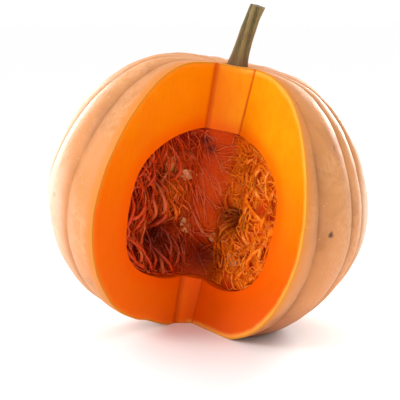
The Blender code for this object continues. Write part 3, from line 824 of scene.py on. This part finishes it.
def alongAt(point):
    left, right = wedgeEdge(-1.0, point.z), wedgeEdge(1.0, point.z)
    middle = 0.5 * (left + right)
    side = 1.0 if point.x > middle.x else -1.0
    edge = right if side > 0 else left
    half = (right - left).length * 0.5
    beyond = (point - edge).dot(wedgeHeading(side))
    if beyond > 0.0:
        return side * (half + beyond)
    return point.x - middle.x


def keepInCavity(point, margin):
    exponent = 2.0 / cavity["squareness"]
    across = math.hypot(point.x, point.y) / (cavity["radius"] - margin)
    up = abs(point.z - cavity["middle"]) / (cavity["halfHeight"] - margin)
    reach = (across ** exponent + up ** exponent) ** (1.0 / exponent)
    if reach <= 1.0:
        return point
    return Vector((point.x / reach, point.y / reach, cavity["middle"] + (point.z - cavity["middle"]) / reach))


def tornDetail(along, height):
    away = smoothStep(abs(along), 0.3 * torn["core"], 1.6 * torn["core"])
    drift = along - 0.35 * height if along < 0 else along + 0.1 * height
    threads = noise.noise(Vector((drift * 420.0, height * 60.0, 3.1)))
    threads += 0.6 * noise.noise(Vector((drift * 800.0, height * 140.0, 7.7)))
    lumps = 1.0 - abs(noise.noise(Vector((along * 150.0, height * 150.0, 5.2)))) * 2.0
    detail = threads * (0.8 if along < 0 else 0.35) + lumps * (0.35 if along < 0 else 0.9)
    return torn["fibres"] * (detail - 0.4) * (0.12 + 0.88 * away)


def tornBmesh():
    bm = bmesh.new()
    bmesh.ops.create_grid(bm, x_segments=torn["columns"], y_segments=torn["rows"], size=1.0)
    for vert in bm.verts:
        height = torn["bottom"] + (torn["top"] - torn["bottom"]) * 0.5 * (vert.co.y + 1.0)
        along = vert.co.x * torn["reach"]
        rise = min(tornDetail(along, height), recess(along, height) - torn["shallowestRaised"])
        vert.co = tornPoint(along, height, rise)
    swept = bmesh.ops.extrude_face_region(bm, geom=list(bm.faces))
    front = [v for v in swept["geom"] if isinstance(v, bmesh.types.BMVert)]
    bmesh.ops.translate(bm, verts=front, vec=(0.0, -torn["sweep"], 0.0))
    return bm


# Each patch of tan or clumped pulp, or of painted shade: along the cut, height, width
tanPatches = ((-0.034, 0.027, 0.009), (-0.027, 0.022, 0.006), (0.030, 0.014, 0.008))
clumpPatches = ((-0.031, 0.001, 0.011), (-0.027, -0.014, 0.008), (0.036, 0.012, 0.016))
shadePatches = ((-0.012, 0.050, 0.0045), (-0.007, 0.044, 0.005))


def patchAt(along, height, patches):
    return max(math.exp(-(math.hypot(along - a, height - h) / w) ** 2) for a, h, w in patches)


def pulpAttributes(piece, points):
    coreLow, coreHigh = (share * torn["core"] for share in torn["coreBlend"])
    sideAt, coreAt, hollowShadeAt, tanAt, clumpAt = [], [], [], [], []
    for point in points:
        along = alongAt(point)
        sideAt.append(smoothStep(along, *torn["sideBlend"]))
        coreAt.append(1.0 - smoothStep(abs(along), coreLow, coreHigh))
        # Painted shade: full in the shaded patches and in the deepest hollows
        patchShade = patchAt(along, point.z, shadePatches)
        hollowShadeAt.append(min(1.0, max(patchShade, hollowAt(along, point.z) / torn["fullShadeDepth"])))
        tanAt.append(patchAt(along, point.z, tanPatches))
        clumpAt.append(patchAt(along, point.z, clumpPatches))
    for name, values in (("side", sideAt), ("core", coreAt), ("deep", hollowShadeAt), ("tan", tanAt),
                         ("clump", clumpAt)):
        store(piece, name, values)


def buildPulp():
    body = cavityBmesh(torn["sides"], torn["cavityRows"], cavity["gap"])
    piece = newPiece("pulpMass", body, [pulpSurface])
    cutters = [newPiece("tornCutter", tornBmesh(), [pulpSurface]),
               newPiece("openCutter", wedgeBmesh(wedge["plainCuts"]), [pulpSurface])]
    for cutter in cutters:
        subtract(piece, cutter)
    bakeModifiers(piece, cutters)
    pulpAttributes(piece, [vert.co.copy() for vert in piece.data.vertices])
    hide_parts("pulp")
    finishPiece(piece, torn["smoothAngle"])


strands = {
    "seed": 9, "count": 58, "sides": 8, "steps": 18, "thickness": (0.0011, 0.0020), "rise": (0.003, 0.012),
    "sunk": 0.0030, "margin": 0.0050, "sway": 0.0025, "swayTurns": 5.0, "leftShare": 0.56,
    "height": (-0.050, 0.062), "fall": (0.018, 0.048),
    "left": {"along": (-0.088, -0.012), "drift": (0.006, 0.010)},
    "right": {"along": (0.016, 0.080), "drift": (0.0, 0.014)},
    "waist": (0.65, 0.35), "knots": 0.22, "knotTurns": 23.0, "ahead": 0.03,
    "clearance": 0.0004, "clearReach": 0.01, "smoothAngle": 60.0,
}
fineStrands = {
    "seed": 31, "count": 520, "sides": 5, "steps": 14, "thickness": (0.00025, 0.0008), "margin": 0.0022,
    "leftShare": 0.55, "height": (-0.062, 0.064), "sunk": 0.001, "clearance": 0.0008,
    "left": {"along": (-0.092, -0.008), "fall": (0.012, 0.050), "drift": (0.010, 0.012),
             "rise": (0.001, 0.0095), "curl": (0.0005, 0.002), "turns": (3.0, 6.0)},
    "right": {"along": (0.012, 0.084), "fall": (-0.016, 0.026), "drift": (0.0, 0.020),
              "rise": (0.001, 0.006), "curl": (0.001, 0.005), "turns": (4.0, 11.0)},
}


def liftAt(station):
    return math.sin(math.pi * max(0.0, min(1.0, station)))


def thickStrand(draw):
    part = strands["left" if draw.random() < strands["leftShare"] else "right"]
    along = draw.uniform(*part["along"])
    height = draw.uniform(*strands["height"])
    fall = draw.uniform(*strands["fall"])
    drift = draw.gauss(*part["drift"])
    rise = draw.uniform(*strands["rise"])
    thickness = draw.uniform(*strands["thickness"])
    wave = draw.uniform(0.0, 2.0 * math.pi)

    def centre(station):
        lift = liftAt(station)
        sway = strands["sway"] * math.sin(strands["swayTurns"] * station + wave)
        point = tornPoint(along + drift * station + sway, height - fall * station,
                          rise * lift - strands["sunk"] * (1.0 - lift))
        return keepInCavity(point, strands["margin"])

    return along, thickness, centre


def fineStrand(draw):
    part = fineStrands["left" if draw.random() < fineStrands["leftShare"] else "right"]
    along = draw.uniform(*part["along"])
    height = draw.uniform(*fineStrands["height"])
    fall = draw.uniform(*part["fall"])
    drift = draw.gauss(*part["drift"])
    rise = draw.uniform(*part["rise"])
    thickness = draw.uniform(*fineStrands["thickness"])
    wave = draw.uniform(0.0, 2.0 * math.pi)
    curl = draw.uniform(*part["curl"])
    turns = draw.uniform(*part["turns"])

    def centre(station):
        lift = liftAt(station)
        sway = curl * math.sin(turns * station + wave)
        dip = curl * math.cos(turns * station + 1.7 * wave)
        here = along + drift * station + sway
        level = height - fall * station + dip
        lifted = rise * lift - fineStrands["sunk"] * (1.0 - lift)
        lifted = min(lifted, recess(here, level) - fineStrands["clearance"])
        return keepInCavity(tornPoint(here, level, lifted), fineStrands["margin"])

    return along, thickness, centre


def addTubes(bm, template, tubes, tones):
    narrow, swell = strands["waist"]
    step = strands["ahead"]
    for along, thickness, centre in tubes:
        first = len(bm.verts)
        bm.from_mesh(template)
        bm.verts.ensure_lookup_table()
        tone = tones.random()
        phase = tones.uniform(0.0, 6.0)
        frames = {}
        inward = inwardAt(along)
        for vert in bm.verts[first:]:
            station = round(vert.co.z + 0.5, 4)
            angle = math.atan2(vert.co.y, vert.co.x)
            if station not in frames:
                here = centre(station)
                ahead = (centre(station + step) - centre(station - step)).normalized()
                cross = ahead.cross(inward).normalized()
                frames[station] = (here, cross, cross.cross(ahead))
            here, cross, out = frames[station]
            radius = thickness * (narrow + swell * math.sin(math.pi * station))
            knot = math.sin(strands["knotTurns"] * station + phase + 2.0 * math.sin(angle + phase))
            radius *= 1.0 + strands["knots"] * knot
            vert.co = here + (cross * math.cos(angle) + out * math.sin(angle)) * radius
        for vert in bm.verts[first:]:
            vert[bm.verts.layers.float["tone"]] = tone


# A strand that would reach past the cut is pushed back behind it
def keepBehindCut(vert):
    clearance = strands["clearance"]
    for side in (-1.0, 1.0):
        heading = wedgeHeading(side)
        inward = Vector((-heading.y * side, heading.x * side, 0.0))
        edge = wedgeEdge(side, vert.co.z)
        over = clearance - (vert.co - edge).dot(inward)
        inside = (vert.co - edge).dot(heading)
        if inside > 0.0 and 0.0 < over < strands["clearReach"]:
            vert.co += inward * over
    left, right = wedgeEdge(-1.0, vert.co.z), wedgeEdge(1.0, vert.co.z)
    if vert.co.y < wedge["depth"] + clearance and left.x < vert.co.x < right.x:
        vert.co.y = wedge["depth"] + clearance


def buildStrands():
    bm = bmesh.new()
    bm.verts.layers.float.new("tone")
    for settings, makeStrand in ((strands, thickStrand), (fineStrands, fineStrand)):
        draw = random.Random(settings["seed"])
        tubes = [makeStrand(draw) for _ in range(settings["count"])]
        sides = settings["sides"]
        template = bpy.data.meshes.new("strandTemplate")
        tube = tubeBmesh(sides, settings["steps"], lambda s, a: Vector((math.cos(a), math.sin(a), s - 0.5)))
        tube.to_mesh(template)
        tube.free()
        addTubes(bm, template, tubes, random.Random(sides))
        bpy.data.meshes.remove(template)
    for vert in bm.verts:
        keepBehindCut(vert)
    points = [vert.co.copy() for vert in bm.verts]
    piece = newPiece("pulpStrands", bm, [strandSurface])
    pulpAttributes(piece, points)
    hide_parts("pulp")
    finishPiece(piece, strands["smoothAngle"])


seeds = {
    "length": 0.0165, "width": 0.0092, "thickness": 0.0028, "sides": 40, "rows": 28,
    "taper": (0.30, 0.10), "rimAt": 0.86, "rimWidth": 0.09, "belly": 0.78, "rimSwell": 0.22,
    "middleSwell": 0.10, "middleWidth": 0.5, "step": 0.006, "smoothAngle": 60.0,
    # Each seed: along the cut, height, turn in degrees, depth that it is sunk
    "places": ((-0.0195, 0.018, 4, 0.0006), (-0.034, 0.027, 62, 0.0012), (0.012, -0.034, 30, 0.0006),
               (-0.014, -0.028, 115, 0.0008), (0.036, -0.044, 160, 0.0008), (-0.050, -0.030, 80, 0.0010)),
}


def seedMatrix(along, height, turn, sunk):
    step = seeds["step"]
    across = tornPoint(along + step, height) - tornPoint(along - step, height)
    up = tornPoint(along, height + step) - tornPoint(along, height - step)
    out = across.cross(up).normalized()
    turn = math.radians(turn)
    longAxis = across.normalized() * math.cos(turn) + up.normalized() * math.sin(turn)
    longAxis = (longAxis - out * longAxis.dot(out)).normalized()
    matrix = Matrix((longAxis, out.cross(longAxis), out)).transposed().to_4x4()
    matrix.translation = tornPoint(along, height, 0.5 * seeds["thickness"] - sunk)
    return matrix


def buildSeeds():
    taperFirst, taperSecond = seeds["taper"]
    for number, place in enumerate(seeds["places"], start=1):
        bm = bmesh.new()
        bmesh.ops.create_uvsphere(bm, u_segments=seeds["sides"], v_segments=seeds["rows"], radius=1.0)
        rimAt = []
        for vert in bm.verts:
            x, y, z = vert.co
            flat = math.hypot(x, y)
            taper = 1.0 - taperFirst * x - taperSecond * x * x
            rim = math.exp(-((flat - seeds["rimAt"]) / seeds["rimWidth"]) ** 2)
            rimAt.append(rim)
            middle = math.exp(-(flat / seeds["middleWidth"]) ** 2)
            belly = seeds["belly"] + seeds["rimSwell"] * rim + seeds["middleSwell"] * middle
            vert.co.x = x * 0.5 * seeds["length"]
            vert.co.y = y * 0.5 * seeds["width"] * taper
            vert.co.z = z * 0.5 * seeds["thickness"] * min(belly, 1.0)
        bmesh.ops.transform(bm, matrix=seedMatrix(*place), verts=bm.verts)
        piece = newPiece("seedKernel%d" % number, bm, [seedSurface])
        store(piece, "rim", rimAt)
        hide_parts("seed_%d" % number)
        finishPiece(piece, seeds["smoothAngle"])


buildFruit()
print("fruit built")
buildPulp()
print("pulp built")
buildStrands()
print("strands built")
buildSeeds()
buildStem()
print("seeds and stem built")


ground = {"size": 60.0, "finish": {"Base Color": (0.93, 0.94, 0.95, 1.0), "Roughness": 0.8}}


def buildFloor():
    bm = bmesh.new()
    bmesh.ops.create_grid(bm, x_segments=1, y_segments=1, size=ground["size"] * 0.5)
    surface = newMaterial("paleFloor", ground["finish"])[0]
    floor = newPiece("floor", bm, [surface], recalc=False)


studio = {
    "aim": (0.0, 0.0, 0.12), "worldColour": (1.0, 0.99, 0.98, 1.0), "worldStrength": 1.06,
    # Each light: name, place, diameter, power, colour
    "lights": (("keyLight", (-1.45, -0.75, 1.2), 0.8, 14.0, (1.0, 0.98, 0.955)),
               ("rimLight", (0.74, 1.5, 0.42), 0.5, 38.0, (1.0, 0.965, 0.93)),
               ("leftRimLight", (-0.95, 1.4, 0.5), 0.7, 20.0, (1.0, 0.98, 0.97))),
}


def addLight(name, place, size, power, colour):
    light = bpy.data.lights.new(name, "AREA")
    light.shape = "DISK"
    light.size = size
    light.energy = power
    light.color = colour
    lamp = bpy.data.objects.new(name, light)
    lamp.location = place
    lamp.rotation_euler = (Vector(studio["aim"]) - Vector(place)).to_track_quat("-Z", "Y").to_euler()
    bpy.context.scene.collection.objects.link(lamp)


def buildStudio():
    buildFloor()
    for settings in studio["lights"]:
        addLight(*settings)
    world = bpy.data.worlds.new("studio")
    world.use_nodes = True
    background = world.node_tree.nodes["Background"].inputs
    background["Color"].default_value = studio["worldColour"]
    background["Strength"].default_value = studio["worldStrength"]
    bpy.context.scene.world = world


view = {"distance": 1.0, "down": 9.0, "sensor": 36.0, "lens": 103.51, "shiftX": -0.01945, "shiftY": -0.01345}


def buildCamera():
    data = bpy.data.cameras.new("camera")
    data.sensor_width = view["sensor"]
    data.lens = view["lens"]
    data.shift_x = view["shiftX"]
    data.shift_y = view["shiftY"]
    camera = bpy.data.objects.new("camera", data)
    down = math.radians(view["down"])
    forward = Vector((0.0, math.cos(down), -math.sin(down)))
    camera.location = fruitMiddle - forward * view["distance"]
    camera.rotation_euler = forward.to_track_quat("-Z", "Y").to_euler()
    bpy.context.scene.collection.objects.link(camera)
    bpy.context.scene.camera = camera


buildStudio()
buildCamera()
bpy.context.scene.view_settings.view_transform = "Standard"
print("studio ready")
